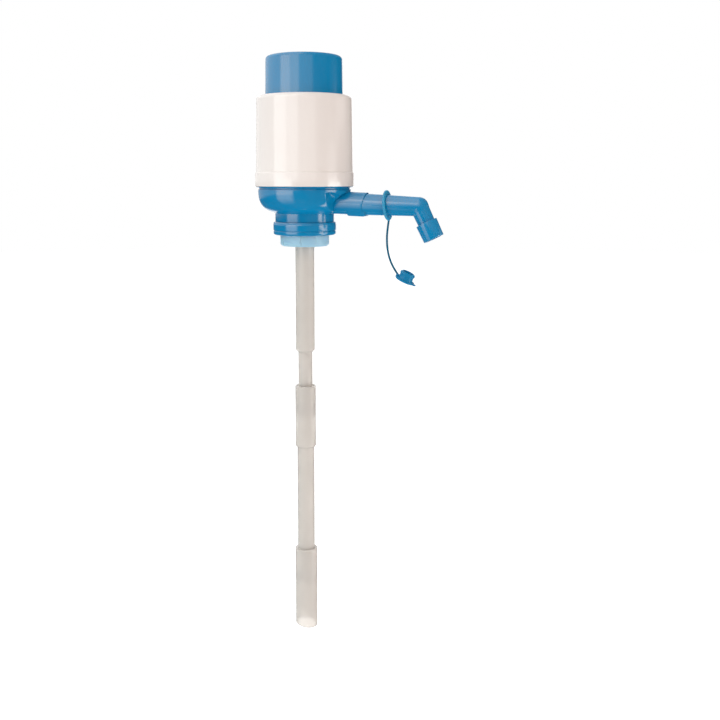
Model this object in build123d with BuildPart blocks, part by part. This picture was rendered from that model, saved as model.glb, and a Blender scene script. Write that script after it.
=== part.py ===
from build123d import *
import os
from math import cos, sin, radians, tan, pi

# Hand-press pump for a large water bottle.
# Millimetres. Origin: centre of the seat that rests on the bottle's rim (underside of the neck collar).
# +Z is up the pump's axis, the spout leaves along +X.

os.makedirs("parts", exist_ok=True)

# ---------------------------------------------------------------- driving dimensions
# bottle neck interface
PLUG_R = 19.9            # soft plug, outside radius inside the bottle neck
PLUG_BOTTOM = -9.0
PLUG_FLANGE_R = 22.4
SEAT_LIP = 2.0           # thickness of the collar's inward lip
COLLAR_R = 25.6
COLLAR_TOP = 10.35
COLLAR_BORE_R = 22.9
LIP_BORE_R = 20.5

# blue base
SPIGOT_R = 22.55
SPIGOT_BOTTOM = 5.2
NECK_R = 23.95
NECK_TOP = 17.2
BOWL_TOP = 38.5
BOWL_R = 39.0
RECESS_X = 27.7          # flat cut in the bowl that the outlet leaves
RECESS_TOP = 34.5
UPSTAND_R = 37.0
UPSTAND_IN_R = 34.8
UPSTAND_TOP = 47.5
LEDGE_Z = 41.6
LEDGE_R = 31.8
RISER_R = 8.6
RISER_BORE = 4.9
STUB_R = 6.6
STUB_BORE = 4.6
STUB_BOTTOM = -13.0

# white housing
HOUSING_BOTTOM = 38.6
SKIRT_R = 39.9
SKIRT_TOP = 49.6
HOUSING_R_LOW = 39.15
HOUSING_R_TOP = 38.15
HOUSING_TOP = 109.2
HOUSING_HOLE_R = 31.3
SHOULDER_R = 6.0
HOUSING_WALL = 2.2

# push button
BUTTON_R = 30.9          # at the rim of the housing
BUTTON_R_TOP = 30.3
BUTTON_TOP = 139.6
BUTTON_WALL = 2.0
GUIDE_R = 35.6
GUIDE_TOP = 106.7
GUIDE_BOTTOM = 79.0
BUTTON_TRAVEL = 26.0

# air deck, bellows and valves
DECK_R = 34.6
DECK_T = 2.6
DECK_Z = LEDGE_Z
FLANGE_Z = DECK_Z + DECK_T
FLANGE_T = 2.0
CLAMP_T = 2.6
CLAMP_R = 33.2
BELLOWS_R = 27.6
BELLOWS_VALLEY_R = 22.4
BELLOWS_WALL = 1.5
BELLOWS_TOP = 130.5
FOLDS = 6
SCREW_PCR = 30.4
PLATE_T = 2.4

# outlet and spout
OUT_Z = 26.4             # height of the spout's axis on the pump's axis
OUT_SLOPE = 1.83         # degrees, downwards
SOCKET_R = 9.3
SOCKET_BORE = 8.05
SOCKET_IN = 38.5
SOCKET_MOUTH = 52.0
MOUTH_TOP = 53.4         # the mouth is cut on a slant between these
MOUTH_BOTTOM = 50.2
SHOULDER = 49.8          # where the spout grows to its outside size, just inside the mouth
LUG_HALF = 6.2
CHANNEL_BORE = 5.4
SPIGOT_SP_R = 8.0
TUBE_R_START = 8.45
TUBE_R_END = 7.45
TUBE_BORE = 5.9
ELBOW_L = 95.45          # distance from the pump's axis to the elbow, along the spout
DOWN_ANGLE = 63.4        # degrees below the horizontal
DOWN_R_START = 7.15
DOWN_R_END = 6.8
DOWN_BORE = 5.5
DOWN_L = 22.0
SLEEVE_START = 13.6
SLEEVE_END = 27.5
SLEEVE_R_START = 8.6
SLEEVE_R_END = 8.2
MOUTH_BORE = 6.35

# tether
RING_L = 70.1            # ring centre, along the spout
RING_R = 11.8
RING_BORE = 8.4
RING_T = 1.9
RING_FOOT = 12.1         # from the ring's centre to the end of its lug
RING_TILT = 5.2          # degrees, lower edge pushed outwards
STRAP_D = 1.6
CAP_R = 7.85
CAP_FLANGE_T = 1.4
CAP_PLUG_R = 6.0
CAP_PLUG_L = 6.2
CAP_TILT = 25.0
CAP_EYE_H = 1.4          # the eye stands this far above the flange's top

# dip tubes
A_BELL_R, A_R = 7.85, 5.87
A_TOP, A_STEP, A_BOTTOM = 1.4, -96.1, -153.1
B_BELL_R, B_R = 8.6, 7.15
B_TOP, B_STEP, B_BOTTOM = -126.3, -178.7, -297.0
C_R = 9.35
C_TOP, C_LEFT, C_RIGHT = -270.5, -339.0, -342.6

# ---------------------------------------------------------------- working planes
alpha = radians(OUT_SLOPE)
out_dir = Vector(cos(alpha), 0, -sin(alpha))
out_plane = Plane(origin=(0, 0, OUT_Z), x_dir=out_dir, z_dir=(0, -1, 0))
out_axis = Axis(origin=(0, 0, OUT_Z), direction=out_dir)
elbow = Vector(0, 0, OUT_Z) + out_dir * ELBOW_L
beta = radians(DOWN_ANGLE)
down_dir = Vector(cos(beta), 0, -sin(beta))
down_plane = Plane(origin=elbow, x_dir=down_dir, z_dir=(0, -1, 0))
down_axis = Axis(origin=elbow, direction=down_dir)


def across(distance):
    """Plane square to the spout's axis, at a distance from the pump's axis. Local x is world Y."""
    return Plane(origin=Vector(0, 0, OUT_Z) + out_dir * distance, x_dir=(0, 1, 0), z_dir=out_dir)


# ---------------------------------------------------------------- recess in the bowl
# The bowl is cut back flat where the outlet leaves it, under a ceiling below its rim.
# This is the wall and the ceiling behind that cut, kept inside the thickness of the bowl's own wall.
with BuildPart() as recess_wall:
    with BuildSketch(Plane.XZ):
        with BuildLine():
            Polyline((0, 17.6), (23.0, 18.6), (29.0, 20.9), (31.9, 22.9), (34.0, 25.3), (35.4, 28.2), (36.1, 31.5), (36.3, 36.8), (0, 36.8), (0, 17.6))
        make_face()
    revolve(axis=Axis.Z)
    with BuildSketch(Plane.XY.offset(16.0)):
        with Locations((RECESS_X + 7.6, 0)):
            Rectangle(20.0, 55.2)
    extrude(amount=22.0, mode=Mode.INTERSECT)

# ---------------------------------------------------------------- base body
# Bowl, neck, threaded spigot (as a plain cylinder), riser and outlet socket in one moulding.
with BuildPart() as base_body:
    with BuildSketch(Plane.XZ):
        with BuildLine():
            Polyline(
                (20.1, SPIGOT_BOTTOM), (SPIGOT_R, SPIGOT_BOTTOM), (SPIGOT_R, COLLAR_TOP + 0.35),
                (NECK_R, COLLAR_TOP + 0.35), (NECK_R, NECK_TOP),
            )
            Spline(
                (NECK_R, NECK_TOP), (25.8, 18.15), (30.1, 19.75), (33.0, 21.75), (35.2, 24.5),
                (36.6, 27.6), (37.3, 31.3), (37.55, 35.9),
                tangents=[(0.55, 1), (0.02, 1)],
            )
            Polyline(
                (37.55, 35.9), (BOWL_R, 38.0), (BOWL_R, 38.35), (BOWL_R - 0.15, BOWL_TOP),
                (UPSTAND_R, BOWL_TOP), (UPSTAND_R, UPSTAND_TOP - 0.8), (UPSTAND_R - 0.8, UPSTAND_TOP),
                (UPSTAND_IN_R, UPSTAND_TOP), (UPSTAND_IN_R, LEDGE_Z), (LEDGE_R, LEDGE_Z), (LEDGE_R, LEDGE_Z - 3.0),
                (35.2, 35.2), (34.9, 31.3), (34.0, 28.2), (32.6, 25.6), (30.6, 23.6), (28.0, 22.0),
                (24.5, 20.7), (21.4, 19.6), (20.1, 18.0), (20.1, SPIGOT_BOTTOM),
            )
        make_face()
    revolve(axis=Axis.Z)
    # flat recess round the outlet: its wall, the cut with a hollow curve above the outlet, then the square corners beside it
    add(recess_wall.part)
    with BuildSketch(Plane.XZ):
        with BuildLine():
            Polyline((RECESS_X, 14.0), (RECESS_X, 25.0), (28.4, 26.2), (29.8, 28.2), (32.1, 30.2), (35.1, 31.9), (37.8, RECESS_TOP), (42.0, RECESS_TOP),
                     (42.0, 14.0), (RECESS_X, 14.0))
        make_face()
    extrude(amount=30.0, both=True, mode=Mode.SUBTRACT)
    with BuildSketch(Plane.XY.offset(22.0)):
        with Locations((RECESS_X + 10.0, 21.0), (RECESS_X + 10.0, -21.0)):
            Rectangle(20.0, 18.0)
    extrude(amount=RECESS_TOP - 22.0, mode=Mode.SUBTRACT)
    # riser, and the stub that the first dip tube pushes onto
    with BuildSketch(Plane.XY.offset(6.4)):
        Circle(RISER_R)
    extrude(amount=OUT_Z + 7.4 - 6.4)
    with BuildSketch(Plane.XY.offset(STUB_BOTTOM)):
        Circle(STUB_R)
    extrude(amount=8.0 - STUB_BOTTOM)
    # three webs carry the riser in the neck
    with BuildSketch(Plane.XY.offset(8.0)):
        with PolarLocations(14.2, 3, start_angle=60):
            Rectangle(12.8, 1.8)
    extrude(amount=9.6)
    # water channel from the riser to the outlet
    with BuildSketch(across(0)):
        Circle(7.3)
    extrude(amount=SOCKET_IN - 2)
    # outlet: a round socket that leaves the flat of the recess, its mouth cut on a slant with the top longer
    with BuildSketch(across(RECESS_X - 2.0)):
        Circle(SOCKET_R)
    extrude(amount=SOCKET_MOUTH - RECESS_X + 4.0)
    with BuildSketch(out_plane):
        with BuildLine():
            Polyline((MOUTH_TOP, SOCKET_R), (MOUTH_BOTTOM, -SOCKET_R), (MOUTH_BOTTOM - 0.2, -SOCKET_R - 1.0), (60.0, -SOCKET_R - 1.0),
                     (60.0, SOCKET_R + 1.0), (MOUTH_TOP + 0.2, SOCKET_R + 1.0), (MOUTH_TOP, SOCKET_R))
        make_face()
    extrude(amount=12.0, both=True, mode=Mode.SUBTRACT)
    # lug under the socket, reaching a little way along under the spout
    with BuildSketch(out_plane):
        with BuildLine():
            Polyline((38.3, -6.6), (38.3, -8.4), (39.4, -9.5), (52.5, -9.5), (53.6, -8.7), (53.6, -6.6), (38.3, -6.6))
        make_face()
    extrude(amount=LUG_HALF, both=True)
    # bosses for the deck screws, inside the ledge
    with BuildSketch(Plane.XY.offset(31.5)):
        with PolarLocations(SCREW_PCR, 4, start_angle=45):
            Circle(3.0)
    extrude(amount=LEDGE_Z - 31.5)
    # bores
    with BuildSketch(Plane.XY.offset(STUB_BOTTOM)):
        Circle(STUB_BORE)
    extrude(amount=OUT_Z + 3.0 - STUB_BOTTOM, mode=Mode.SUBTRACT)
    with BuildSketch(across(-2.0)):
        Circle(CHANNEL_BORE)
    extrude(amount=SOCKET_IN + 3.0, mode=Mode.SUBTRACT)
    with BuildSketch(across(SOCKET_IN)):
        Circle(SOCKET_BORE)
    extrude(amount=SOCKET_MOUTH - SOCKET_IN + 4.0, mode=Mode.SUBTRACT)
    with BuildSketch(across(SHOULDER - 0.3)):
        Circle(TUBE_R_START + 0.2)
    extrude(amount=6.0, mode=Mode.SUBTRACT)
    with BuildSketch(Plane.XY.offset(LEDGE_Z)):
        with PolarLocations(SCREW_PCR, 4, start_angle=45):
            Circle(1.3)
    extrude(amount=-8.6, mode=Mode.SUBTRACT)
    # groove for the deck's sealing ring
    with BuildSketch(Plane.XY.offset(LEDGE_Z)):
        Circle(34.3)
        Circle(32.4, mode=Mode.SUBTRACT)
    extrude(amount=-1.6, mode=Mode.SUBTRACT)
base_body.part.label = "base_body"
export_step(base_body.part, "parts/base_body.step")

# ---------------------------------------------------------------- base sealing ring
with BuildPart() as base_oring:
    with BuildSketch(Plane.XZ):
        with Locations((33.35, LEDGE_Z - 0.8)):
            Circle(0.8)
    revolve(axis=Axis.Z)
base_oring.part.label = "base_oring"
export_step(base_oring.part, "parts/base_oring.step")

# ---------------------------------------------------------------- white housing
with BuildPart() as housing:
    with BuildSketch(Plane.XZ):
        with BuildLine():
            Polyline(
                (UPSTAND_R, HOUSING_BOTTOM), (SKIRT_R - 0.5, HOUSING_BOTTOM), (SKIRT_R, HOUSING_BOTTOM + 0.5),
                (SKIRT_R, SKIRT_TOP - 0.45), (SKIRT_R - 0.35, SKIRT_TOP), (HOUSING_R_LOW, SKIRT_TOP + 0.1),
                (HOUSING_R_TOP, HOUSING_TOP - SHOULDER_R),
            )
            CenterArc((HOUSING_R_TOP - SHOULDER_R, HOUSING_TOP - SHOULDER_R), SHOULDER_R, 0, 90)
            Polyline((HOUSING_R_TOP - SHOULDER_R, HOUSING_TOP), (HOUSING_HOLE_R + 0.4, HOUSING_TOP),
                     (HOUSING_HOLE_R, HOUSING_TOP - 0.4), (HOUSING_HOLE_R, HOUSING_TOP - HOUSING_WALL),
                     (HOUSING_R_TOP - HOUSING_WALL - 2.6, HOUSING_TOP - HOUSING_WALL),
                     (HOUSING_R_TOP - HOUSING_WALL + 0.05, HOUSING_TOP - HOUSING_WALL - 2.6),
                     (UPSTAND_R, UPSTAND_TOP + 1.0), (UPSTAND_R, HOUSING_BOTTOM))
        make_face()
    revolve(axis=Axis.Z)
housing.part.label = "housing"
export_step(housing.part, "parts/housing.step")

# ---------------------------------------------------------------- push button
with BuildPart() as push_button:
    with BuildSketch(Plane.XZ):
        with BuildLine():
            Polyline((0, BUTTON_TOP), (BUTTON_R_TOP - 3.2, BUTTON_TOP - 0.25))
            RadiusArc((BUTTON_R_TOP - 3.2, BUTTON_TOP - 0.25), (BUTTON_R_TOP, BUTTON_TOP - 3.3), 3.2)
            Polyline(
                (BUTTON_R_TOP, BUTTON_TOP - 3.3), (BUTTON_R, GUIDE_TOP), (GUIDE_R - 2.2, GUIDE_TOP), (GUIDE_R, GUIDE_TOP - 2.4),
                (GUIDE_R, GUIDE_BOTTOM), (GUIDE_R - 1.8, GUIDE_BOTTOM), (GUIDE_R - 1.8, GUIDE_TOP - 3.6),
                (BUTTON_R - BUTTON_WALL, GUIDE_TOP - 3.6), (BUTTON_R_TOP - BUTTON_WALL, BUTTON_TOP - 5.0),
                (BUTTON_R_TOP - BUTTON_WALL - 2.2, BUTTON_TOP - 2.4), (0, BUTTON_TOP - 2.2), (0, BUTTON_TOP),
            )
        make_face()
    revolve(axis=Axis.Z)
    # ribs under the crown that press on the bellows plate
    with BuildSketch(Plane.XY.offset(BELLOWS_TOP + PLATE_T)):
        with PolarLocations(14.5, 6):
            Rectangle(20.0, 1.6)
    extrude(amount=BUTTON_TOP - 1.6 - BELLOWS_TOP - PLATE_T)
    # central boss
    with BuildSketch(Plane.XY.offset(BELLOWS_TOP + PLATE_T)):
        Circle(5.6)
        Circle(3.8, mode=Mode.SUBTRACT)
    extrude(amount=BUTTON_TOP - 1.6 - BELLOWS_TOP - PLATE_T)
push_button.part.label = "push_button"
export_step(push_button.part, "parts/push_button.step")

# ---------------------------------------------------------------- bellows plate under the button, with air holes
with BuildPart() as bellows_plate:
    with BuildSketch(Plane.XY.offset(BELLOWS_TOP)):
        Circle(25.6)
        Circle(1.6, mode=Mode.SUBTRACT)
        with PolarLocations(6.2, 6, start_angle=30):
            Circle(1.5, mode=Mode.SUBTRACT)
        with PolarLocations(17.5, 3, start_angle=30):
            Circle(1.1, mode=Mode.SUBTRACT)
    extrude(amount=PLATE_T)
bellows_plate.part.label = "bellows_plate"
export_step(bellows_plate.part, "parts/bellows_plate.step")

# ---------------------------------------------------------------- bellows: wavy wall, wide lower flange, inward top flange
fold = (BELLOWS_TOP - FLANGE_T - (FLANGE_Z + FLANGE_T)) / FOLDS
outer_pts, inner_pts = [], []
z0 = FLANGE_Z + FLANGE_T
for i in range(FOLDS):
    zb = z0 + i * fold
    outer_pts += [(BELLOWS_VALLEY_R + 0.9, zb + 0.06 * fold), (BELLOWS_R, zb + 0.42 * fold), (BELLOWS_R, zb + 0.58 * fold), (BELLOWS_VALLEY_R + 0.9, zb + 0.94 * fold)]
with BuildPart() as bellows:
    with BuildSketch(Plane.XZ):
        with BuildLine():
            Polyline(
                (BELLOWS_VALLEY_R - 1.2, FLANGE_Z), (CLAMP_R, FLANGE_Z), (CLAMP_R, z0), (BELLOWS_VALLEY_R + 0.9, z0),
                *outer_pts,
                (BELLOWS_VALLEY_R + 0.9, BELLOWS_TOP), (13.0, BELLOWS_TOP), (13.0, BELLOWS_TOP - FLANGE_T),
                (BELLOWS_VALLEY_R - 0.6, BELLOWS_TOP - FLANGE_T),
                *[(r - BELLOWS_WALL, z) for r, z in reversed(outer_pts)],
                (BELLOWS_VALLEY_R - 1.2, z0 + 0.3), (BELLOWS_VALLEY_R - 1.2, FLANGE_Z),
            )
        make_face()
    revolve(axis=Axis.Z)
    with BuildSketch(Plane.XY.offset(FLANGE_Z)):
        with PolarLocations(SCREW_PCR, 4, start_angle=45):
            Circle(1.6)
    extrude(amount=FLANGE_T, mode=Mode.SUBTRACT)
    with BuildSketch(Plane.XY.offset(BELLOWS_TOP - FLANGE_T)):
        with PolarLocations(17.5, 3, start_angle=30):
            Circle(1.1)
    extrude(amount=FLANGE_T, mode=Mode.SUBTRACT)
bellows.part.label = "bellows"
export_step(bellows.part, "parts/bellows.step")

# ---------------------------------------------------------------- clip ring and its screws: hold the bellows' top flange to the plate
with BuildPart() as bellows_top_clip:
    with BuildSketch(Plane.XY.offset(BELLOWS_TOP - FLANGE_T - 1.8)):
        Circle(20.2)
        Circle(13.4, mode=Mode.SUBTRACT)
        with PolarLocations(17.5, 3, start_angle=30):
            Circle(1.1, mode=Mode.SUBTRACT)
    extrude(amount=1.8)
bellows_top_clip.part.label = "bellows_top_clip"
export_step(bellows_top_clip.part, "parts/bellows_top_clip.step")

with BuildPart() as top_clip_screws:
    with BuildSketch(Plane.XY.offset(BELLOWS_TOP - FLANGE_T - 1.8)):
        with PolarLocations(17.5, 3, start_angle=30):
            Circle(1.1)
    extrude(amount=1.8 + FLANGE_T + PLATE_T - 0.3)
    with BuildSketch(Plane.XY.offset(BELLOWS_TOP - FLANGE_T - 1.8)):
        with PolarLocations(17.5, 3, start_angle=30):
            Circle(2.0)
    extrude(amount=-1.3)
    with BuildSketch(Plane.XY.offset(BELLOWS_TOP - FLANGE_T - 3.1)):
        with PolarLocations(17.5, 3, start_angle=30):
            Rectangle(2.4, 0.6)
            Rectangle(0.6, 2.4)
    extrude(amount=0.7, mode=Mode.SUBTRACT)
top_clip_screws.part.label = "top_clip_screws"
export_step(top_clip_screws.part, "parts/top_clip_screws.step")

# ---------------------------------------------------------------- inlet valve: silicone umbrella under the plate
with BuildPart() as inlet_valve:
    with BuildSketch(Plane.XZ):
        with BuildLine():
            Polyline((0, BELLOWS_TOP - 2.3), (2.4, BELLOWS_TOP - 2.2), (8.6, BELLOWS_TOP - 0.55), (8.9, BELLOWS_TOP),
                     (1.6, BELLOWS_TOP), (1.6, BELLOWS_TOP + PLATE_T), (2.5, BELLOWS_TOP + PLATE_T + 0.5),
                     (1.2, BELLOWS_TOP + PLATE_T + 2.6), (0, BELLOWS_TOP + PLATE_T + 2.6), (0, BELLOWS_TOP - 2.3))
        make_face()
    revolve(axis=Axis.Z)
inlet_valve.part.label = "inlet_valve"
export_step(inlet_valve.part, "parts/inlet_valve.step")

# ---------------------------------------------------------------- clamp ring over the bellows' lower flange
with BuildPart() as bellows_clamp_ring:
    with BuildSketch(Plane.XY.offset(FLANGE_Z + FLANGE_T)):
        Circle(CLAMP_R)
        Circle(28.1, mode=Mode.SUBTRACT)
        with PolarLocations(SCREW_PCR, 4, start_angle=45):
            Circle(1.6, mode=Mode.SUBTRACT)
    extrude(amount=CLAMP_T)
bellows_clamp_ring.part.label = "bellows_clamp_ring"
export_step(bellows_clamp_ring.part, "parts/bellows_clamp_ring.step")

# ---------------------------------------------------------------- air deck: closes the base chamber
VALVE_X = -15.0
with BuildPart() as air_deck:
    with BuildSketch(Plane.XY.offset(DECK_Z)):
        Circle(DECK_R)
        with PolarLocations(SCREW_PCR, 4, start_angle=45):
            Circle(1.6, mode=Mode.SUBTRACT)
        with Locations((VALVE_X, 0)):
            Circle(1.5, mode=Mode.SUBTRACT)
        with Locations((VALVE_X, 0)):
            with PolarLocations(4.6, 6):
                Circle(1.2, mode=Mode.SUBTRACT)
    extrude(amount=DECK_T)
    # low ring that centres the bellows
    with BuildSketch(Plane.XY.offset(FLANGE_Z)):
        Circle(20.8)
        Circle(19.2, mode=Mode.SUBTRACT)
    extrude(amount=2.2)
air_deck.part.label = "air_deck"
export_step(air_deck.part, "parts/air_deck.step")

with BuildPart() as deck_screws:
    with BuildSketch(Plane.XY.offset(FLANGE_Z + FLANGE_T + CLAMP_T)):
        with PolarLocations(SCREW_PCR, 4, start_angle=45):
            Circle(2.6)
    extrude(amount=1.8)
    with BuildSketch(Plane.XY.offset(FLANGE_Z + FLANGE_T + CLAMP_T)):
        with PolarLocations(SCREW_PCR, 4, start_angle=45):
            Circle(1.3)
    extrude(amount=-(CLAMP_T + FLANGE_T + DECK_T + 8.0))
    with BuildSketch(Plane.XY.offset(FLANGE_Z + FLANGE_T + CLAMP_T + 1.8)):
        with PolarLocations(SCREW_PCR, 4, start_angle=45):
            Rectangle(3.0, 0.8)
            Rectangle(0.8, 3.0)
    extrude(amount=-0.9, mode=Mode.SUBTRACT)
deck_screws.part.label = "deck_screws"
export_step(deck_screws.part, "parts/deck_screws.step")

# ---------------------------------------------------------------- delivery valve: silicone umbrella under the deck
with BuildPart() as delivery_valve:
    with BuildSketch(Plane(origin=(VALVE_X, 0, 0), x_dir=(1, 0, 0), z_dir=(0, -1, 0))):
        with BuildLine():
            Polyline((0, DECK_Z - 2.1), (2.2, DECK_Z - 2.0), (6.9, DECK_Z - 0.5), (7.2, DECK_Z), (1.5, DECK_Z),
                     (1.5, DECK_Z + DECK_T), (2.4, DECK_Z + DECK_T + 0.5), (1.1, DECK_Z + DECK_T + 2.4),
                     (0, DECK_Z + DECK_T + 2.4), (0, DECK_Z - 2.1))
        make_face()
    revolve(axis=Axis(origin=(VALVE_X, 0, 0), direction=(0, 0, 1)))
delivery_valve.part.label = "delivery_valve"
export_step(delivery_valve.part, "parts/delivery_valve.step")

# ---------------------------------------------------------------- spout: plug-in spigot, tapered tube, rounded elbow, down tube
with BuildPart() as spout_tube:
    with BuildSketch(out_plane):
        with BuildLine():
            Polyline(
                (SOCKET_IN + 0.5, 0), (SOCKET_IN + 0.5, SPIGOT_SP_R - 0.5), (SOCKET_IN + 1.0, SPIGOT_SP_R),
                (41.9, SPIGOT_SP_R), (41.9, SPIGOT_SP_R - 1.0), (43.9, SPIGOT_SP_R - 1.0), (43.9, SPIGOT_SP_R),
                (46.9, SPIGOT_SP_R), (46.9, SPIGOT_SP_R - 1.0), (48.9, SPIGOT_SP_R - 1.0), (48.9, SPIGOT_SP_R),
                (SHOULDER, SPIGOT_SP_R), (SHOULDER, TUBE_R_START - 0.15), (SHOULDER + 0.25, TUBE_R_START),
                (SOCKET_MOUTH + 0.6, TUBE_R_START), (ELBOW_L, TUBE_R_END), (ELBOW_L, 0), (SOCKET_IN + 0.5, 0),
            )
        make_face()
    revolve(axis=out_axis)
    with BuildSketch(down_plane):
        with BuildLine():
            Polyline((0, 0), (0, DOWN_R_START), (SLEEVE_START, DOWN_R_END), (DOWN_L, DOWN_R_END), (DOWN_L, 0), (0, 0))
        make_face()
    revolve(axis=down_axis)
    with Locations(elbow):
        Sphere(TUBE_R_END)
    # water way
    with BuildSketch(across(SOCKET_IN - 1)):
        Circle(TUBE_BORE)
    extrude(amount=ELBOW_L - SOCKET_IN + 1, mode=Mode.SUBTRACT)
    with BuildSketch(Plane(origin=elbow, x_dir=(0, 1, 0), z_dir=down_dir)):
        Circle(DOWN_BORE)
    extrude(amount=DOWN_L + 1, mode=Mode.SUBTRACT)
    with Locations(elbow):
        Sphere(TUBE_BORE, mode=Mode.SUBTRACT)
spout_tube.part.label = "spout_tube"
export_step(spout_tube.part, "parts/spout_tube.step")

with BuildPart() as spout_orings:
    with BuildSketch(out_plane):
        with Locations((42.9, SPIGOT_SP_R - 0.5), (47.9, SPIGOT_SP_R - 0.5)):
            Circle(0.5)
    revolve(axis=out_axis)
spout_orings.part.label = "spout_orings"
export_step(spout_orings.part, "parts/spout_orings.step")

# ---------------------------------------------------------------- nozzle sleeve on the end of the down tube
with BuildPart() as nozzle_sleeve:
    with BuildSketch(down_plane):
        with BuildLine():
            Polyline(
                (SLEEVE_START, DOWN_R_END), (SLEEVE_START, SLEEVE_R_START - 0.35), (SLEEVE_START + 0.35, SLEEVE_R_START),
                (SLEEVE_END - 0.5, SLEEVE_R_END), (SLEEVE_END, SLEEVE_R_END - 0.5), (SLEEVE_END, MOUTH_BORE),
                (DOWN_L, MOUTH_BORE), (DOWN_L, DOWN_R_END), (SLEEVE_START, DOWN_R_END),
            )
        make_face()
    revolve(axis=down_axis)
nozzle_sleeve.part.label = "nozzle_sleeve"
export_step(nozzle_sleeve.part, "parts/nozzle_sleeve.step")

# ---------------------------------------------------------------- tether ring round the spout
ring_a = radians(RING_TILT)
ring_c = Vector(0, 0, OUT_Z) + out_dir * RING_L
ring_n = Vector(cos(ring_a), 0, sin(ring_a))
ring_down = Vector(sin(ring_a), 0, -cos(ring_a))
ring_plane = Plane(origin=ring_c - ring_n * (RING_T / 2), x_dir=(0, 1, 0), z_dir=ring_n)
with BuildPart() as tether_ring:
    with BuildSketch(ring_plane):
        Circle(RING_R)
        Circle(RING_BORE, mode=Mode.SUBTRACT)
    extrude(amount=RING_T)
    fillet(tether_ring.edges().filter_by(GeomType.CIRCLE).group_by(SortBy.RADIUS)[-1], 0.6)
    # small lug at the ring's foot that the strap comes out of
    with BuildSketch(Plane(origin=ring_c + ring_down * (RING_FOOT - 2.0), x_dir=(0, 1, 0), z_dir=ring_down)):
        Rectangle(4.6, RING_T + 0.2)
    with BuildSketch(Plane(origin=ring_c + ring_down * RING_FOOT, x_dir=(0, 1, 0), z_dir=ring_down)):
        Circle(STRAP_D / 2 + 0.12)
    loft()
tether_ring.part.label = "tether_ring"
export_step(tether_ring.part, "parts/tether_ring.step")

# ---------------------------------------------------------------- strap from the ring to the dust cap
# Route of the strap's centre line in the plane y = 0, (x, z).
strap_start = ring_c + ring_down * RING_FOOT
strap_pts = [
    (strap_start.X, strap_start.Z), (70.35, 6.6), (69.75, -1.2), (70.2, -8.9), (71.55, -15.6),
    (73.75, -21.3), (76.35, -25.9), (79.6, -30.5),
]
route = [Vector(x, 0, z) for x, z in strap_pts]
runs = [(route[i + 1] - route[i]).length for i in range(len(route) - 1)]
radii = []
for i in range(1, len(route) - 1):
    turn = radians((route[i] - route[i - 1]).get_angle(route[i + 1] - route[i]))
    radii.append(0.45 * min(runs[i - 1], runs[i]) / tan(turn / 2))
print("strap runs", [round(r, 2) for r in runs])
print("strap radii", [round(r, 1) for r in radii], "least allowed", round(3 * STRAP_D, 2))
with BuildPart() as tether_strap:
    with BuildLine() as strap_line:
        FilletPolyline(*route, radius=radii)
    strap_len = sum(e.length for e in strap_line.edges())
    with BuildSketch(Plane(origin=route[0], z_dir=(route[1] - route[0]).normalized())):
        Circle(STRAP_D / 2)
    sweep(path=strap_line.wires()[0])
tether_strap.part.label = "tether_strap"
print("strap length", round(strap_len, 2), "volume", round(tether_strap.part.volume, 3), "section x length", round(pi * STRAP_D ** 2 / 4 * strap_len, 3))
export_step(tether_strap.part, "parts/tether_strap.step")

# ---------------------------------------------------------------- dust cap: flange, plug with end bead, pull tab
t = radians(CAP_TILT)
cap_up = Vector(sin(t), 0, cos(t))
cap_x = Vector(cos(t), 0, -sin(t))
CAP_C = Vector(85.2, 0, -33.6)
cap_plane = Plane(origin=CAP_C, x_dir=cap_x, z_dir=(0, -1, 0))
with BuildPart() as dust_cap:
    with BuildSketch(cap_plane):
        with BuildLine():
            Polyline(
                (0, -CAP_FLANGE_T), (CAP_R - 0.4, -CAP_FLANGE_T), (CAP_R, -CAP_FLANGE_T + 0.4), (CAP_R, -0.35), (CAP_R - 0.35, 0),
                (CAP_PLUG_R - 0.1, 0), (CAP_PLUG_R - 0.35, 2.2), (CAP_PLUG_R - 0.3, 3.6), (CAP_PLUG_R + 0.1, 4.5),
                (CAP_PLUG_R - 0.1, 5.3), (CAP_PLUG_R - 0.9, CAP_PLUG_L), (CAP_PLUG_R - 1.7, CAP_PLUG_L), (CAP_PLUG_R - 1.9, 1.0),
                (0, 1.0), (0, -CAP_FLANGE_T),
            )
        make_face()
    revolve(axis=Axis(origin=CAP_C, direction=cap_up))
    # pull tab on the far edge
    with BuildSketch(Plane(origin=CAP_C - cap_up * CAP_FLANGE_T, x_dir=cap_x, z_dir=cap_up)):
        with Locations((CAP_R + 0.2, 0)):
            Rectangle(2.4, 5.0)
    extrude(amount=1.1)
    # eye beside the plug, with a blind hole that the strap's end is held in
    with BuildSketch(Plane(origin=CAP_C - cap_up * CAP_FLANGE_T, x_dir=cap_x, z_dir=cap_up)):
        with Locations((-6.8, 0)):
            Rectangle(2.6, 3.0)
    extrude(amount=CAP_FLANGE_T + CAP_EYE_H)
    with BuildSketch(Plane(origin=route[-1], z_dir=(route[-2] - route[-1]).normalized())):
        Circle(STRAP_D / 2)
    extrude(amount=3.0, mode=Mode.SUBTRACT)
dust_cap.part.label = "dust_cap"
export_step(dust_cap.part, "parts/dust_cap.step")

# ---------------------------------------------------------------- neck gasket, plug and collar
with BuildPart() as neck_gasket:
    with BuildSketch(Plane.XY.offset(SPIGOT_BOTTOM - 1.1)):
        Circle(SPIGOT_R - 0.15)
        Circle(20.3, mode=Mode.SUBTRACT)
    extrude(amount=1.1)
neck_gasket.part.label = "neck_gasket"
export_step(neck_gasket.part, "parts/neck_gasket.step")

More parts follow.
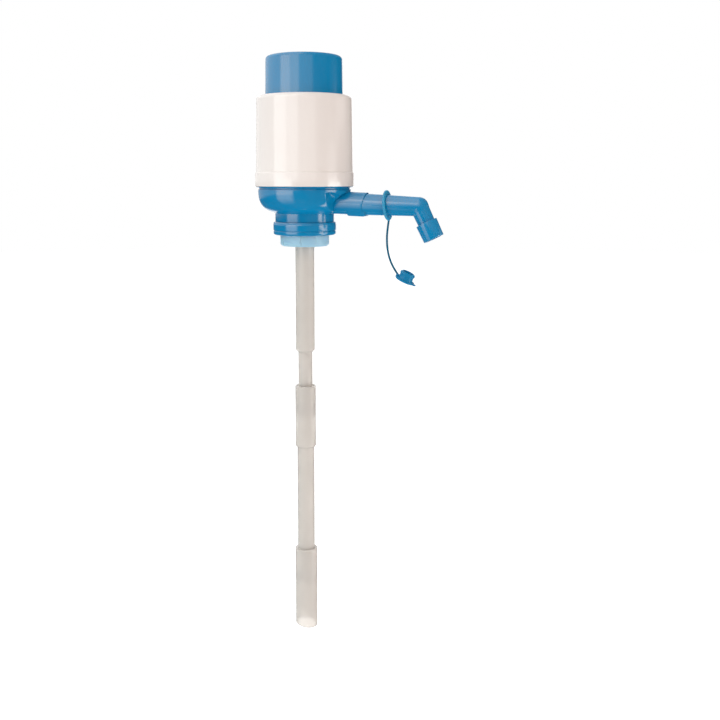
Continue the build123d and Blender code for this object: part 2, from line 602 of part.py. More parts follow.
with BuildPart() as neck_plug:
    with BuildSketch(Plane.XZ):
        with BuildLine():
            Polyline(
                (8.2, PLUG_BOTTOM), (PLUG_R - 1.4, PLUG_BOTTOM), (PLUG_R, PLUG_BOTTOM + 1.4), (PLUG_R, 0), (PLUG_R - 0.4, 0.2),
                (PLUG_R - 0.4, SEAT_LIP + 0.05), (PLUG_FLANGE_R, SEAT_LIP + 0.05), (PLUG_FLANGE_R, SPIGOT_BOTTOM - 1.15),
                (PLUG_R - 2.1, SPIGOT_BOTTOM - 1.15), (PLUG_R - 2.1, PLUG_BOTTOM + 2.6), (10.2, PLUG_BOTTOM + 2.6),
                (10.2, 0.4), (8.2, 0.4), (8.2, PLUG_BOTTOM),
            )
        make_face()
    revolve(axis=Axis.Z)
    with BuildSketch(Plane.XY.offset(PLUG_BOTTOM)):
        with PolarLocations(14.0, 3, start_angle=30):
            Circle(2.2)
    extrude(amount=2.6, mode=Mode.SUBTRACT)
neck_plug.part.label = "neck_plug"
export_step(neck_plug.part, "parts/neck_plug.step")

with BuildPart() as neck_collar:
    with BuildSketch(Plane.XZ):
        with BuildLine():
            Polyline((LIP_BORE_R, 0), (COLLAR_R - 2.0, 0))
            RadiusArc((COLLAR_R - 2.0, 0), (COLLAR_R - 0.15, 1.7), -1.9)
            Polyline(
                (COLLAR_R - 0.15, 1.7), (COLLAR_R - 0.15, 3.0), (COLLAR_R - 0.55, 3.25), (COLLAR_R - 0.55, 3.65), (COLLAR_R, 3.9),
                (COLLAR_R, 8.6), (COLLAR_R - 0.12, 9.3), (COLLAR_R - 0.6, COLLAR_TOP - 0.25), (COLLAR_R - 0.85, COLLAR_TOP),
                (COLLAR_BORE_R, COLLAR_TOP), (COLLAR_BORE_R, SEAT_LIP), (LIP_BORE_R, SEAT_LIP), (LIP_BORE_R, 0),
            )
        make_face()
    revolve(axis=Axis.Z)
neck_collar.part.label = "neck_collar"
export_step(neck_collar.part, "parts/neck_collar.step")

# ---------------------------------------------------------------- three push-fit dip tubes
with BuildPart() as dip_tube_upper:
    with BuildSketch(Plane.XZ):
        with BuildLine():
            Polyline(
                (STUB_R, A_TOP), (A_BELL_R - 0.3, A_TOP), (A_BELL_R, A_TOP - 0.3), (A_BELL_R, A_STEP + 1.0), (A_BELL_R - 0.6, A_STEP),
                (A_R, A_STEP - 1.2), (A_R, A_BOTTOM), (A_R - 1.1, A_BOTTOM), (A_R - 1.1, A_STEP),
                (STUB_R, A_STEP + 2.6), (STUB_R, A_TOP),
            )
        make_face()
    revolve(axis=Axis.Z)
dip_tube_upper.part.label = "dip_tube_upper"
export_step(dip_tube_upper.part, "parts/dip_tube_upper.step")

with BuildPart() as dip_tube_middle:
    with BuildSketch(Plane.XZ):
        with BuildLine():
            Polyline(
                (B_BELL_R - 1.3, B_TOP), (B_BELL_R - 0.2, B_TOP), (B_BELL_R, B_TOP - 0.2), (B_BELL_R, B_STEP + 0.8), (B_BELL_R - 0.5, B_STEP),
                (B_R, B_STEP - 0.8), (B_R, B_BOTTOM), (B_R - 1.2, B_BOTTOM), (B_R - 1.2, B_STEP + 6.0), (A_R - 1.0, A_BOTTOM - 1.0),
                (A_R - 1.0, A_BOTTOM), (A_R, A_BOTTOM), (A_R, A_BOTTOM + 13.0), (B_BELL_R - 1.3, A_BOTTOM + 15.0),
                (B_BELL_R - 1.3, B_TOP),
            )
        make_face()
    revolve(axis=Axis.Z)
dip_tube_middle.part.label = "dip_tube_middle"
export_step(dip_tube_middle.part, "parts/dip_tube_middle.step")

with BuildPart() as dip_tube_foot:
    with BuildSketch(Plane.XZ):
        with BuildLine():
            Polyline(
                (B_R, C_TOP), (C_R - 0.3, C_TOP), (C_R, C_TOP - 0.3), (C_R, C_RIGHT - 2.0), (C_R - 1.15, C_RIGHT - 2.0),
                (C_R - 1.15, B_BOTTOM - 2.0), (B_R - 1.0, B_BOTTOM - 1.0), (B_R - 1.0, B_BOTTOM), (B_R, B_BOTTOM), (B_R, C_TOP),
            )
        make_face()
    revolve(axis=Axis.Z)
    # slanted cut at the inlet, so that the tube can't seal on the bottle's floor
    with BuildSketch(Plane.XZ):
        with BuildLine():
            Polyline((-12, C_LEFT), (12, C_RIGHT), (12, C_RIGHT - 12), (-12, C_RIGHT - 12), (-12, C_LEFT))
        make_face()
    extrude(amount=12, both=True, mode=Mode.SUBTRACT)
dip_tube_foot.part.label = "dip_tube_foot"
export_step(dip_tube_foot.part, "parts/dip_tube_foot.step")
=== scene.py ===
import bpy, bmesh, math
from mathutils import Matrix, Vector


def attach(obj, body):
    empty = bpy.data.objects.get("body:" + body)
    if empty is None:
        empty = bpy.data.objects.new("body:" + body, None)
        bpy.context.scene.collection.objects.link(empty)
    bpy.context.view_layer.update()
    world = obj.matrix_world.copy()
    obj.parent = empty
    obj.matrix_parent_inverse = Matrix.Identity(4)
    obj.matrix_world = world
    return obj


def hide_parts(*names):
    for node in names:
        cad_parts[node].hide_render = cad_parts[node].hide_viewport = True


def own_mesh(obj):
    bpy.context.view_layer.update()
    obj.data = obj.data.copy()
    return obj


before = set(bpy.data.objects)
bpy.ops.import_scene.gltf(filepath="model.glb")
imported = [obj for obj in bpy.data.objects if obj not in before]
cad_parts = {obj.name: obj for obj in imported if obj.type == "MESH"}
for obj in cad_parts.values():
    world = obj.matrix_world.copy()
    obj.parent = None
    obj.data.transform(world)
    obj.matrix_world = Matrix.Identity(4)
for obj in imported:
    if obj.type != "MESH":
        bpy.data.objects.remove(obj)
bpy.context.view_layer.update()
MM = 0.001

# =====================================================================================
# camera: a little above the pump's base, the spout turned a little towards it
# =====================================================================================
cam_data = bpy.data.cameras.new("camera")
cam_data.sensor_width = 36.0
cam_data.lens = 44.0
cam_data.shift_x = 0.04
cam_data.shift_y = -0.03
cam_data.clip_start = 0.01
cam_data.clip_end = 50.0
camera = bpy.data.objects.new("camera", cam_data)
bpy.context.scene.collection.objects.link(camera)
bpy.context.scene.camera = camera
right = Vector((0.937952, 0.346765, 0.0))
up = Vector((-0.061431, 0.166161, 0.984183))
back = Vector((0.341281, -0.923117, 0.177153))
camera.matrix_world = Matrix((
    (right.x, up.x, back.x, 0.270466),
    (right.y, up.y, back.y, -0.669427),
    (right.z, up.z, back.z, 0.043684),
    (0, 0, 0, 1)))

# =====================================================================================
# mesh helpers (all sizes in mm, in the row frame)
# =====================================================================================


def link(obj):
    bpy.context.scene.collection.objects.link(obj)
    return obj


def shade(me, sharp=30.0):
    me.shade_smooth()
    me.set_sharp_from_angle(angle=math.radians(sharp))


def mesh_object(name, verts, faces, sharp=30.0, merge=0.0):
    me = bpy.data.meshes.new(name)
    me.from_pydata([tuple(v) for v in verts], [], faces)
    bm = bmesh.new()
    bm.from_mesh(me)
    if merge:
        bmesh.ops.remove_doubles(bm, verts=bm.verts, dist=merge)
        bmesh.ops.dissolve_degenerate(bm, edges=bm.edges, dist=merge)
    bmesh.ops.recalc_face_normals(bm, faces=bm.faces)
    bm.to_mesh(me)
    bm.free()
    shade(me, sharp)
    return link(bpy.data.objects.new(name, me))


def rounded(pts, n=5):
    """Corners (a, b) or (a, b, fillet radius) as a closed outline with its corners rounded."""
    out, count = [], len(pts)
    for i, p in enumerate(pts):
        if len(p) < 3 or p[2] <= 0:
            out.append((p[0], p[1]))
            continue
        a, b, c = Vector(pts[i - 1][:2]), Vector(p[:2]), Vector(pts[(i + 1) % count][:2])
        u, v = (a - b), (c - b)
        lu, lv = u.length, v.length
        u.normalize(); v.normalize()
        half = math.acos(max(-1, min(1, u.dot(v)))) / 2
        if half > math.radians(88):
            out.append((p[0], p[1]))
            continue
        room_u = 0.49 * lu if len(pts[i - 1]) > 2 else 0.98 * lu
        room_v = 0.49 * lv if len(pts[(i + 1) % count]) > 2 else 0.98 * lv
        t = min(p[2] / math.tan(half), room_u, room_v)
        r = t * math.tan(half)
        centre = b + (u + v).normalized() * (r / math.sin(half))
        s, e = b + u * t - centre, b + v * t - centre
        turn = math.atan2(s.x * e.y - s.y * e.x, s.dot(e))
        steps = max(2, int(round(abs(turn) / math.radians(90) * n)))
        if r > 2.0:
            steps *= 2
        for k in range(steps + 1):
            w = turn * k / steps
            q = centre + Vector((s.x * math.cos(w) - s.y * math.sin(w), s.x * math.sin(w) + s.y * math.cos(w)))
            out.append((q.x, q.y))
    return out


def through(pts, n=8, start=None, end=None):
    """Smooth line through points, its end tangents given or left free."""
    P = [Vector(p) for p in pts]
    h = [(P[i + 1] - P[i]).length for i in range(len(P) - 1)]
    d = [(P[i + 1] - P[i]) / h[i] for i in range(len(h))]
    T = [Vector(start).normalized() if start else d[0]]
    for i in range(1, len(P) - 1):
        T.append((d[i] * h[i - 1] + d[i - 1] * h[i]) / (h[i - 1] + h[i]))
    T.append(Vector(end).normalized() if end else d[-1])
    out = []
    for i in range(len(h)):
        for k in range(n):
            u = k / n
            a, b = 2 * u ** 3 - 3 * u ** 2 + 1, u ** 3 - 2 * u ** 2 + u
            c, e = -2 * u ** 3 + 3 * u ** 2, u ** 3 - u ** 2
            q = P[i] * a + T[i] * (b * h[i]) + P[i + 1] * c + T[i + 1] * (e * h[i])
            out.append((q.x, q.y))
    out.append((P[-1].x, P[-1].y))
    return out


def lathe(name, outline, seg=128, place=None, sharp=30.0):
    """Closed outline of (r, z) turned about z. place is a 4x4 that puts it in the row frame."""
    verts, faces, rings = [], [], []
    for r, z in outline:
        if abs(r) < 1e-6:
            rings.append([len(verts)])
            verts.append(Vector((0, 0, z)))
        else:
            ring = []
            for k in range(seg):
                a = 2 * math.pi * k / seg
                ring.append(len(verts))
                verts.append(Vector((r * math.cos(a), r * math.sin(a), z)))
            rings.append(ring)
    m = len(rings)
    for i in range(m):
        a, b = rings[i], rings[(i + 1) % m]
        if len(a) == 1 and len(b) == 1:
            continue
        for k in range(seg):
            k2 = (k + 1) % seg
            if len(a) == 1:
                faces.append((a[0], b[k], b[k2]))
            elif len(b) == 1:
                faces.append((a[k], b[0], a[k2]))
            else:
                faces.append((a[k], b[k], b[k2], a[k2]))
    if place is None:
        place = Matrix.Identity(4)
    return mesh_object(name, [(place @ v) * MM for v in verts], faces, sharp)


def loft(name, rings, closed=False, sharp=30.0, merge=0.0):
    """Rings of equal count, in mm. closed joins the last ring to the first, otherwise both ends are capped."""
    n = len(rings[0])
    verts = [v * MM for ring in rings for v in ring]
    faces = []
    m = len(rings)
    for i in range(m if closed else m - 1):
        j = (i + 1) % m
        for k in range(n):
            k2 = (k + 1) % n
            faces.append((i * n + k, j * n + k, j * n + k2, i * n + k2))
    if not closed:
        faces.append(tuple(range(n)))
        faces.append(tuple(range((m - 1) * n, m * n))[::-1])
    return mesh_object(name, verts, faces, sharp, merge)


def oval(centre, ex, ey, a, b, power=2.0, n=64):
    """Superellipse ring: power 2 is an ellipse, higher is squarer."""
    out = []
    for k in range(n):
        w = 2 * math.pi * k / n
        c, s = math.cos(w), math.sin(w)
        out.append(centre + ex * (a * math.copysign(abs(c) ** (2 / power), c)) + ey * (b * math.copysign(abs(s) ** (2 / power), s)))
    return out


def frame_matrix(origin, z_axis, x_axis):
    z = Vector(z_axis).normalized()
    x = Vector(x_axis)
    x = (x - z * x.dot(z)).normalized()
    y = z.cross(x)
    o = Vector(origin)
    return Matrix(((x.x, y.x, z.x, o.x), (x.y, y.y, z.y, o.y), (x.z, y.z, z.z, o.z), (0, 0, 0, 1)))


def boolean(target, operation, *tools, sharp=30.0):
    for cutter in tools:
        mod = target.modifiers.new("b", "BOOLEAN")
        mod.operation = operation
        mod.solver = "MANIFOLD"
        mod.object = cutter
        bpy.context.view_layer.update()
        dg = bpy.context.evaluated_depsgraph_get()
        me = bpy.data.meshes.new_from_object(target.evaluated_get(dg))
        target.modifiers.clear()
        old = target.data
        target.data = me
        bpy.data.meshes.remove(old)
        bpy.data.objects.remove(cutter)
    shade(target.data, sharp)
    return target


def block(name, size, place, bevel=0.0, seg=3):
    """Box with rounded edges. place is a 4x4 in mm."""
    bm = bmesh.new()
    bmesh.ops.create_cube(bm, size=1.0)
    for v in bm.verts:
        v.co = Vector((v.co.x * size[0], v.co.y * size[1], v.co.z * size[2]))
    if bevel:
        bmesh.ops.bevel(bm, geom=list(bm.edges), offset=bevel, segments=seg, profile=0.5, affect="EDGES")
    for v in bm.verts:
        v.co = (place @ v.co) * MM
    me = bpy.data.meshes.new(name)
    bm.to_mesh(me)
    bm.free()
    shade(me)
    return link(bpy.data.objects.new(name, me))


def rod(name, r, z0, z1, place=None, seg=64, edge=0.0):
    o = [(0, z0), (r, z0, edge), (r, z1, edge), (0, z1)] if edge else [(0, z0), (r, z0), (r, z1), (0, z1)]
    return lathe(name, rounded(o), seg, place)


def at(x, y, z=0.0, turn=0.0):
    return Matrix.Translation((x, y, z)) @ Matrix.Rotation(turn, 4, "Z")


def polar(radius, count, start_degrees=0.0):
    for k in range(count):
        w = math.radians(start_degrees) + 2 * math.pi * k / count
        yield w, radius * math.cos(w), radius * math.sin(w)


# =====================================================================================
# materials
# =====================================================================================


class Mat:
    def __init__(self, name, **sockets):
        self.m = bpy.data.materials.new(name)
        self.m.use_nodes = True
        self.t = self.m.node_tree
        self.b = self.t.nodes["Principled BSDF"]
        for k, v in sockets.items():
            self.b.inputs[k.replace("_", " ")].default_value = v
        self.coord = self.t.nodes.new("ShaderNodeTexCoord").outputs["Object"]

    def node(self, kind, **props):
        n = self.t.nodes.new(kind)
        for k, v in props.items():
            setattr(n, k, v)
        return n

    def noise(self, scale, detail=2.0, rough=0.5, stretch=None):
        n = self.node("ShaderNodeTexNoise")
        n.inputs["Scale"].default_value = scale
        n.inputs["Detail"].default_value = detail
        n.inputs["Roughness"].default_value = rough
        src = self.coord
        if stretch:
            mp = self.node("ShaderNodeMapping")
            mp.inputs["Scale"].default_value = stretch
            self.t.links.new(self.coord, mp.inputs["Vector"])
            src = mp.outputs["Vector"]
        self.t.links.new(src, n.inputs["Vector"])
        return n.outputs["Fac"]

    def remap(self, value, a, b, lo=0.3, hi=0.7):
        n = self.node("ShaderNodeMapRange")
        n.inputs["From Min"].default_value = lo
        n.inputs["From Max"].default_value = hi
        n.inputs["To Min"].default_value = a
        n.inputs["To Max"].default_value = b
        self.t.links.new(value, n.inputs["Value"])
        return n.outputs["Result"]

    def ramp(self, value, stops):
        n = self.node("ShaderNodeValToRGB")
        e = n.color_ramp.elements
        while len(e) < len(stops):
            e.new(0.5)
        for el, (pos, col) in zip(e, stops):
            el.position = pos
            el.color = (*col, 1.0)
        self.t.links.new(value, n.inputs["Fac"])
        return n.outputs["Color"]

    def link(self, out, socket):
        self.t.links.new(out, self.b.inputs[socket])
        return self

    def bump(self, heights, strength=1.0):
        """heights: list of (value, metres high)"""
        normal = None
        for value, dist in heights:
            n = self.node("ShaderNodeBump")
            n.inputs["Strength"].default_value = strength
            n.inputs["Distance"].default_value = dist
            self.t.links.new(value, n.inputs["Height"])
            if normal is not None:
                self.t.links.new(normal, n.inputs["Normal"])
            normal = n.outputs["Normal"]
        self.t.links.new(normal, self.b.inputs["Normal"])
        return self


def plastic(name, colour, tint, rough=(0.24, 0.34), grain=0.000012, wave=0.00006, **more):
    """Injection-moulded plastic: slow colour drift, fine grain, long shallow flow waves, faint upright rub marks."""
    m = Mat(name, Roughness=rough[0], **more)
    m.link(m.ramp(m.noise(38.0, 3.0, 0.55), [(0.25, colour), (0.75, tint)]), "Base Color")
    m.link(m.remap(m.noise(160.0, 4.0, 0.62, stretch=(1.0, 1.0, 0.25)), rough[0], rough[1]), "Roughness")
    heights = []
    if grain:
        heights.append((m.noise(2600.0, 2.0, 0.5), grain))
    if wave:
        heights.append((m.noise(60.0, 1.0, 0.4), wave))
    if heights:
        m.bump(heights)
    return m.m


BLUE = plastic("blue_plastic", (0.0, 0.222, 0.466), (0.0, 0.243, 0.498), (0.13, 0.19), IOR=1.56, Specular_IOR_Level=1.0,
               Specular_Tint=(1.0, 0.74, 0.5, 1.0))
# dust cap plastic: softer, rougher and less glossy than the base, and its blue set darker than the base blue as painted
# shade
BLUE_SOFT_PAINTED_SHADE = plastic("blue_soft_plastic", (0.0, 0.195, 0.40), (0.0, 0.215, 0.43), (0.30, 0.40), IOR=1.49, Specular_IOR_Level=0.32,
                    Specular_Tint=(1.0, 0.8, 0.6, 1.0), Subsurface_Weight=0.1, Subsurface_Radius=(0.0006, 0.0012, 0.002), Subsurface_Scale=1.0)
BLUE_PALE = plastic("blue_soft_plastic_pale", (0.015, 0.285, 0.50), (0.025, 0.31, 0.53), (0.28, 0.38), IOR=1.49, Specular_IOR_Level=0.7,
                    Specular_Tint=(1.0, 0.85, 0.7, 1.0), Subsurface_Weight=0.2, Subsurface_Radius=(0.001, 0.0016, 0.0022), Subsurface_Scale=1.0)
BLUE_DEEP = plastic("blue_soft_plastic_deep", (0.0, 0.10, 0.18), (0.002, 0.112, 0.198), (0.34, 0.44), IOR=1.49, Specular_IOR_Level=0.3)
WHITE = plastic("white_plastic", (0.84, 0.785, 0.745), (0.86, 0.81, 0.77), (0.12, 0.18), IOR=1.5, Specular_IOR_Level=0.85,
                Coat_Weight=0.35, Coat_Roughness=0.07)
INNER = plastic("inner_plastic", (0.60, 0.60, 0.58), (0.66, 0.66, 0.64), (0.40, 0.50))
RUBBER = plastic("bellows_rubber", (0.012, 0.012, 0.013), (0.02, 0.02, 0.021), (0.55, 0.68), grain=0.00003)
SEAL = plastic("seal_rubber", (0.006, 0.006, 0.006), (0.012, 0.012, 0.012), (0.38, 0.48))
SILICONE = plastic("silicone", (0.66, 0.66, 0.63), (0.72, 0.72, 0.70), (0.36, 0.46), Transmission_Weight=0.35, IOR=1.41)
STEEL = plastic("screw_steel", (0.55, 0.55, 0.56), (0.62, 0.62, 0.63), (0.22, 0.34), Metallic=1.0)
PLUG = plastic("plug_soft_plastic", (0.40, 0.67, 0.84), (0.44, 0.71, 0.87), (0.26, 0.34), grain=0.0, wave=0.00002, Transmission_Weight=0.2, IOR=1.40,
               Subsurface_Weight=0.35, Subsurface_Radius=(0.002, 0.003, 0.004), Subsurface_Scale=1.0)
TUBE = plastic("tube_plastic", (0.73, 0.70, 0.66), (0.78, 0.75, 0.71), (0.16, 0.24), grain=0.0, wave=0.00003, Transmission_Weight=0.4, IOR=1.38,
               Specular_IOR_Level=0.7)

NODE_MATERIAL = {
    "base_body": BLUE, "push_button": BLUE, "spout_tube": BLUE, "nozzle_sleeve": BLUE, "neck_collar": BLUE,
    "tether_ring": BLUE_PALE, "tether_strap": BLUE_DEEP, "dust_cap": BLUE_SOFT_PAINTED_SHADE, "housing": WHITE,
    "bellows_plate": INNER, "bellows_top_clip": INNER, "bellows_clamp_ring": INNER, "air_deck": INNER,
    "top_clip_screws": STEEL, "deck_screws": STEEL, "bellows": RUBBER, "base_oring": SEAL, "spout_orings": SEAL,
    "neck_gasket": SEAL, "inlet_valve": SILICONE, "delivery_valve": SILICONE, "neck_plug": PLUG,
    "dip_tube_upper": TUBE, "dip_tube_middle": TUBE, "dip_tube_foot": TUBE,
}
for n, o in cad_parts.items():
    o.data.materials.clear()
    o.data.materials.append(NODE_MATERIAL[n])


def piece(obj, body, material, slot, *nodes):
    obj.data.materials.clear()
    obj.data.materials.append(material)
    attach(obj, body)
    if nodes:
        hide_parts(*nodes)
    return obj


# =====================================================================================
# spout frame, as in the CAD
# =====================================================================================
OUT_Z, ELBOW_L = 26.4, 95.45
alpha, beta = math.radians(1.83), math.radians(63.4)
OUT = Vector((math.cos(alpha), 0, -math.sin(alpha)))
OUT_UP = Vector((math.sin(alpha), 0, math.cos(alpha)))
DOWN = Vector((math.cos(beta), 0, -math.sin(beta)))
DOWN_OUT = Vector((math.sin(beta), 0, math.cos(beta)))
Y = Vector((0, 1, 0))
O = Vector((0, 0, OUT_Z))
V = O + OUT * ELBOW_L
M_OUT = frame_matrix(O, OUT, (0, 1, 0))
M_DOWN = frame_matrix(V, DOWN, (0, 1, 0))

# =====================================================================================
# tether strap: the cord
# =====================================================================================
ring_a = math.radians(5.2)
ring_c = O + OUT * 70.1
ring_n = Vector((math.cos(ring_a), 0, math.sin(ring_a)))
ring_down = Vector((math.sin(ring_a), 0, -math.cos(ring_a)))
strap_start = ring_c + ring_down * 12.1
STRAP = [(strap_start.x, strap_start.z), (70.35, 6.6), (69.75, -1.2), (70.2, -8.9), (71.55, -15.6), (73.75, -21.3), (76.35, -25.9), (79.6, -30.5)]
cu = bpy.data.curves.new("tether_strap_line", "CURVE")
cu.dimensions = "3D"
sp = cu.splines.new("NURBS")
sp.points.add(len(STRAP) - 1)
for p, (x, z) in zip(sp.points, STRAP):
    p.co = (x * MM, 0, z * MM, 1)
sp.order_u = 3
sp.use_endpoint_u = True
cu.bevel_depth = 0.0008
cu.bevel_resolution = 6
cu.resolution_u = 10
cu.use_fill_caps = True
strap = link(bpy.data.objects.new("strap", cu))
piece(strap, "tether", BLUE_DEEP, "blue_soft_plastic", "tether_strap")

# =====================================================================================
# push button: crowned top with a pressed ring, skirt, hidden guide flange, ribs under the crown
# =====================================================================================
button = lathe("push_button_shell", rounded([
    (0, 139.42), (0.9, 139.42, 0.1), (1.25, 139.6, 0.15), (22.6, 139.47, 0.8), (23.3, 139.0, 0.35), (24.3, 139.0, 0.35), (25.0, 139.43, 0.8),
    (30.32, 139.34, 3.1), (30.9, 106.7, 0.6), (33.4, 106.7, 0.8), (35.6, 104.3, 1.2), (35.6, 79.0, 0.5), (33.8, 79.0, 0.5),
    (33.8, 103.1, 1.0), (28.9, 103.1, 1.0), (28.3, 134.6, 1.5), (26.1, 137.2, 1.5), (0, 137.4)]), 160)
ribs = [block("rib", (20.0, 1.6, 5.2), at(x, y, 135.5, w), 0.25) for w, x, y in polar(14.5, 6)]
boss = lathe("boss", rounded([(3.8, 132.9, 0.2), (5.6, 132.9, 0.3), (5.6, 138.2), (3.8, 138.2)]), 64)
boolean(button, "UNION", *ribs, boss)
piece(button, "plunger", BLUE, "blue_plastic", "push_button")

# =====================================================================================
# white housing: rolled shoulder, plain side with a slight draft, stepped skirt
# =====================================================================================
housing = lathe("housing_shell", rounded([
    (37.0, 38.6, 0.3), (39.9, 38.6, 0.6), (39.9, 49.55, 0.35), (39.16, 49.85, 0.3), (38.05, 109.2, 6.0), (31.3, 109.2, 0.55),
    (31.3, 107.0, 0.35), (35.9, 107.0, 2.4), (36.75, 60.0, 2.0), (37.0, 48.5, 0.8)], 7), 192)
piece(housing, "base", WHITE, "white_plastic", "housing")

# =====================================================================================
# base moulding: bowl, neck, spigot, riser, outlet and socket
# =====================================================================================
bowl_outer = through([(23.95, 17.2), (25.8, 18.15), (30.1, 19.75), (33.0, 21.75), (35.2, 24.5), (36.6, 27.6), (37.3, 31.3), (37.55, 35.9)],
                     6, start=(0.75, 1.0), end=(0.02, 1.0))
bowl_inner = through([(35.2, 35.2), (34.9, 31.3), (34.0, 28.2), (32.6, 25.6), (30.6, 23.6), (28.0, 22.0), (24.5, 20.7), (21.4, 19.6), (20.1, 18.0)], 4)
base = lathe("base_shell", rounded([
    (20.1, 5.2, 0.3), (22.55, 5.2, 0.4), (22.55, 10.45, 0.2), (23.95, 10.45, 0.08), *bowl_outer, (37.55, 36.3, 0.35), (36.8, 36.5, 0.3),
    (36.8, 37.4, 0.3), (39.4, 38.2, 0.2), (39.4, 38.5, 0.1), (37.0, 38.5, 0.15), (37.0, 47.5, 0.7), (34.8, 47.5, 0.7), (34.8, 41.6, 0.2),
    (34.3, 41.6), (34.3, 40.0, 0.3), (32.4, 40.0, 0.3), (32.4, 41.6), (31.8, 41.6, 0.2), (31.8, 38.6, 0.4), *bowl_inner]), 192)

# flat recess in the bowl that the outlet leaves: the wall and ceiling behind it, then what is cut away
RECESS_X, RECESS_TOP = 27.7, 34.5
backing = lathe("backing", [(0, 17.6), (23.0, 18.6), (29.0, 20.9), (31.9, 22.9), (34.0, 25.3), (35.4, 28.2), (36.1, 31.5), (36.3, 36.8), (0, 36.8)], 96)
boolean(backing, "INTERSECT", block("backing_box", (20.0, 55.2, 22.0), at(RECESS_X + 7.6, 0, 27.0)))


def along(line, count):
    """Points at even steps along a polyline."""
    P = [Vector(p) for p in line]
    total = sum((b - a).length for a, b in zip(P, P[1:]))
    out = []
    for k in range(count):
        left = total * k / (count - 1)
        for a, b in zip(P, P[1:]):
            d = (b - a).length
            if left <= d or b is P[-1]:
                out.append(a.lerp(b, min(1.0, left / d)))
                break
            left -= d
    return out


hollow = along(through([(RECESS_X, 23.2), (27.95, 24.8), (28.75, 26.6), (29.9, 28.2), (31.6, 29.8), (33.6, 31.2), (36.0, 32.9), (38.4, RECESS_TOP)], 6,
                       start=(0, 1)), 40)
corner = along(rounded([(RECESS_X, 23.2), (RECESS_X, RECESS_TOP, 1.3), (38.4, RECESS_TOP)], 6)[0:-1] + [(38.4, RECESS_TOP)], 40)
recess_rings = []
for y in [-30.0, -25.0] + [-22.0 + 14.0 * k / 16 for k in range(17)] + [8.0 + 14.0 * k / 16 for k in range(17)] + [25.0, 30.0]:
    u = min(1.0, max(0.0, (22.0 - abs(y)) / 14.0))
    u = u * u * (3 - 2 * u)
    curve = [a.lerp(b, u) for a, b in zip(corner, hollow)]
    recess_rings.append([Vector((p.x, y, p.y)) for p in [Vector((RECESS_X, 14.0)), *curve, Vector((42.0, RECESS_TOP)), Vector((42.0, 14.0))]])
recess = loft("recess", recess_rings)


def bowl_radius(z):
    for (r0, z0), (r1, z1) in zip(bowl_outer, bowl_outer[1:]):
        if z0 <= z <= z1:
            return r0 + (r1 - r0) * (z - z0) / (z1 - z0), math.atan2(r1 - r0, z1 - z0)
    return bowl_outer[-1][0], 0.0


def edge_round(side, radius=1.2):
    """Wedge that rounds the upright edge between the recess's flat and the bowl, from under the ceiling to beside the outlet."""
    rings = []
    n1 = Vector((1, 0, 0))
    for k in range(41):
        z = RECESS_TOP - 0.25 - (RECESS_TOP - 0.25 - 20.2) * k / 40
        r, lean = bowl_radius(z)
        y = side * math.sqrt(max(r * r - RECESS_X * RECESS_X, 0.0))
        p = Vector((RECESS_X, y, z))
        turn = math.atan2(y, RECESS_X)
        n2 = Vector((math.cos(turn) * math.cos(lean), math.sin(turn) * math.cos(lean), -math.sin(lean)))
        away1 = (n2 - n1 * n1.dot(n2)).normalized()
        away2 = (n1 - n2 * n1.dot(n2)).normalized()
        rad = radius * min(1.0, (k + 1) / 5, (41 - k) / 6)
        opening = math.acos(max(-1, min(1, n1.dot(n2))))
        reach = rad * math.tan(opening / 2)
        a, b = p - away1 * reach, p - away2 * reach
        arc = [a - n1 * rad + n1 * (rad * math.cos(opening * j / 6)) + away1 * (rad * math.sin(opening * j / 6)) for j in range(7)]
        rings.append([a + n1 * 0.5, *arc, b + n2 * 0.5, p + (n1 + n2) * 0.6])
    return loft("edge_round", rings)


boolean(base, "UNION", backing)
boolean(base, "DIFFERENCE", recess, edge_round(1), edge_round(-1))

# outlet: a plain socket, a little thinner below than above its bore, its mouth on a slant with the top longer
SLANT = math.atan2(3.2, 18.6)
SOCKET_C = O + OUT_UP * 0.35
outlet_rings = []
for s in [25.7, 29.0, 33.0, 37.0, 41.0, 45.0]:
    outlet_rings.append(oval(SOCKET_C + OUT * s, Y, OUT_UP, 8.95, 8.95, 2.0, 96))
for inset, r in ((3.0, 8.95), (0.45, 8.95), (0.26, 8.93), (0.13, 8.88), (0.03, 8.8), (0.0, 8.7)):
    outlet_rings.append([p + OUT * ((p - (O + OUT * 51.8)).dot(OUT_UP) * math.tan(SLANT) - inset) for p in oval(SOCKET_C + OUT * 51.8, Y, OUT_UP, r, r, 2.0, 96)])
outlet = loft("outlet", outlet_rings)

# lug under the socket: a bar whose sides and ends slope in towards the bottom
lug_rings = []
for s, drop, inset in ((38.35, -8.0, 0.5), (38.45, -8.3, 0.25), (38.7, -8.7, 0.08), (39.1, -9.1, 0.0), (39.6, -9.35, 0.0), (40.2, -9.45, 0.0),
                       (46.0, -9.45, 0.0), (51.8, -9.45, 0.0), (52.5, -9.35, 0.0), (53.0, -9.1, 0.0), (53.35, -8.7, 0.08), (53.52, -8.3, 0.25), (53.58, -8.0, 0.5)):
    profile = rounded([(-6.9 + inset, -5.2), (6.9 - inset, -5.2), (5.0 - inset, drop, 0.5), (-5.0 + inset, drop, 0.5)], 6)
    lug_rings.append([O + OUT * s + Y * y + OUT_UP * h for y, h in profile])
boolean(base, "UNION",
        rod("riser", 8.6, 6.4, 33.8, seg=96, edge=0.8),
        rod("stub", 6.6, -13.0, 8.0, seg=96, edge=0.4),
        *[block("web", (12.8, 1.8, 9.6), at(x, y, 12.8, w), 0.3) for w, x, y in polar(14.2, 3, 60)],
        rod("channel", 7.3, 0.0, 36.5, M_OUT, 96),
        outlet,
        loft("lug", lug_rings),
        *[rod("screw_boss", 3.0, 31.5, 41.6, at(x, y), 48, 0.25) for w, x, y in polar(30.4, 4, 45)])
